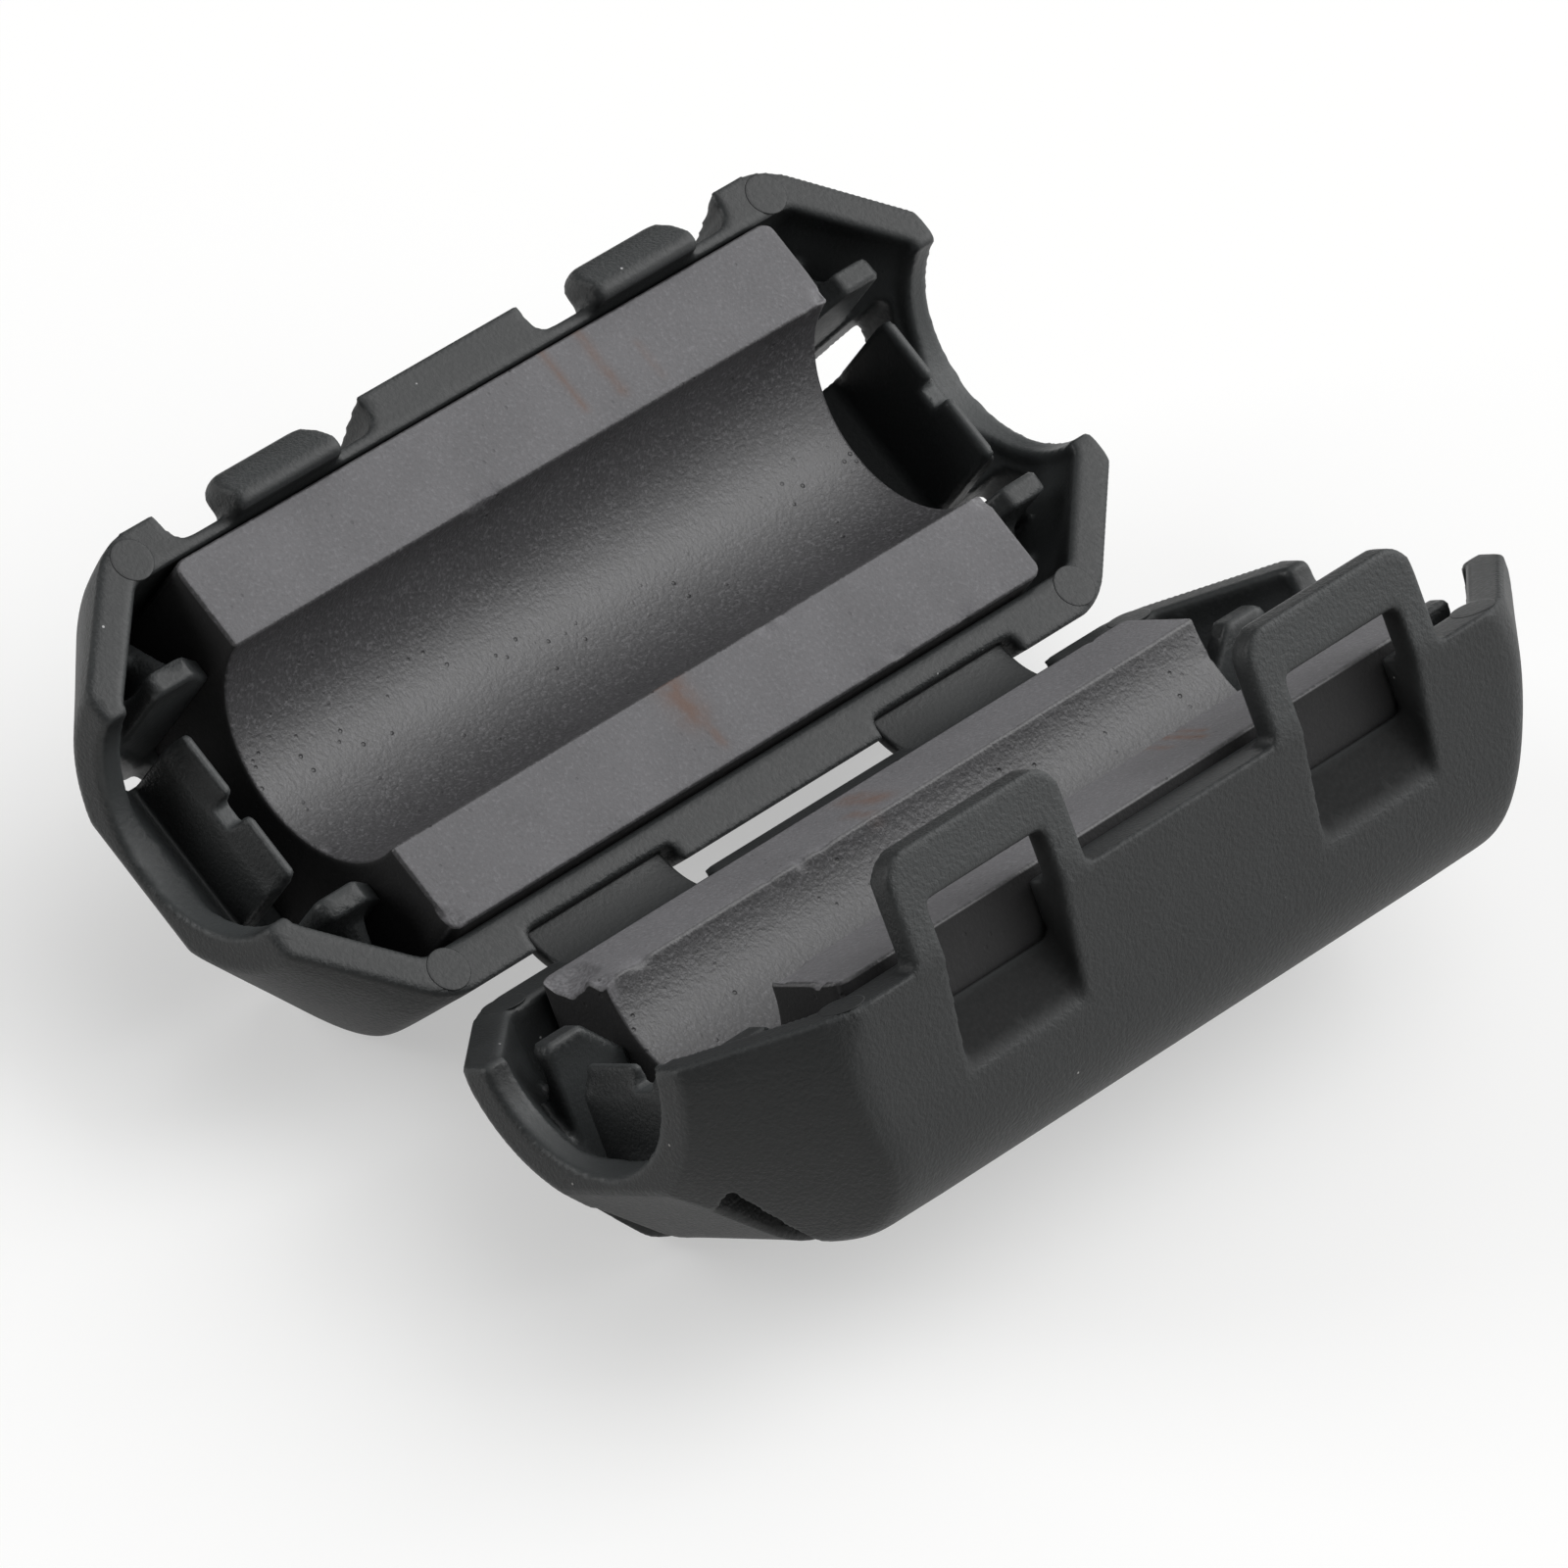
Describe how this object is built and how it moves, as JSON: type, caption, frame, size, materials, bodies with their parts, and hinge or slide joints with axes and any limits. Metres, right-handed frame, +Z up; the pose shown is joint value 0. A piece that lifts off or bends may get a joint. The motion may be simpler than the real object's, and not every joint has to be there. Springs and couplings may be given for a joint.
{
  "type": "clip-on ferrite bead",
  "caption": "Clip-on ferrite bead stored open: a moulded case on living hinge straps, with latch loops and barbs, cable tongues at its ends and a half-round ferrite core in each half.",
  "frame": {"origin": "middle of the base on the surface that the open bead stands on, under the hinge axis", "axes": "+X along the bead and its hinge axis, +Y towards the half with the catch barbs, +Z up"},
  "size_m": [0.04, 0.0384, 0.0185],
  "materials": {
    "case_plastic": "fine eroded texture",
    "ferrite": "sintered and tumbled"
  },
  "bodies": {
    "catch_half": {"catch_shell": "case_plastic", "catch_core": "ferrite", "hinge_strap_left": "case_plastic", "hinge_strap_right": "case_plastic"},
    "latch_half": {"latch_shell": "case_plastic", "latch_core": "ferrite"}
  },
  "joints": [
    {"name": "case_hinge", "type": "hinge", "parent": "catch_half", "child": "latch_half", "pos_m": [0, 0, 0.00564], "axis": [-1, 0, 0], "range_deg": [-60, 120], "stiffness_Nm_per_rad": 0.03, "deforming": ["hinge_strap_left", "hinge_strap_right"]}
  ]
}
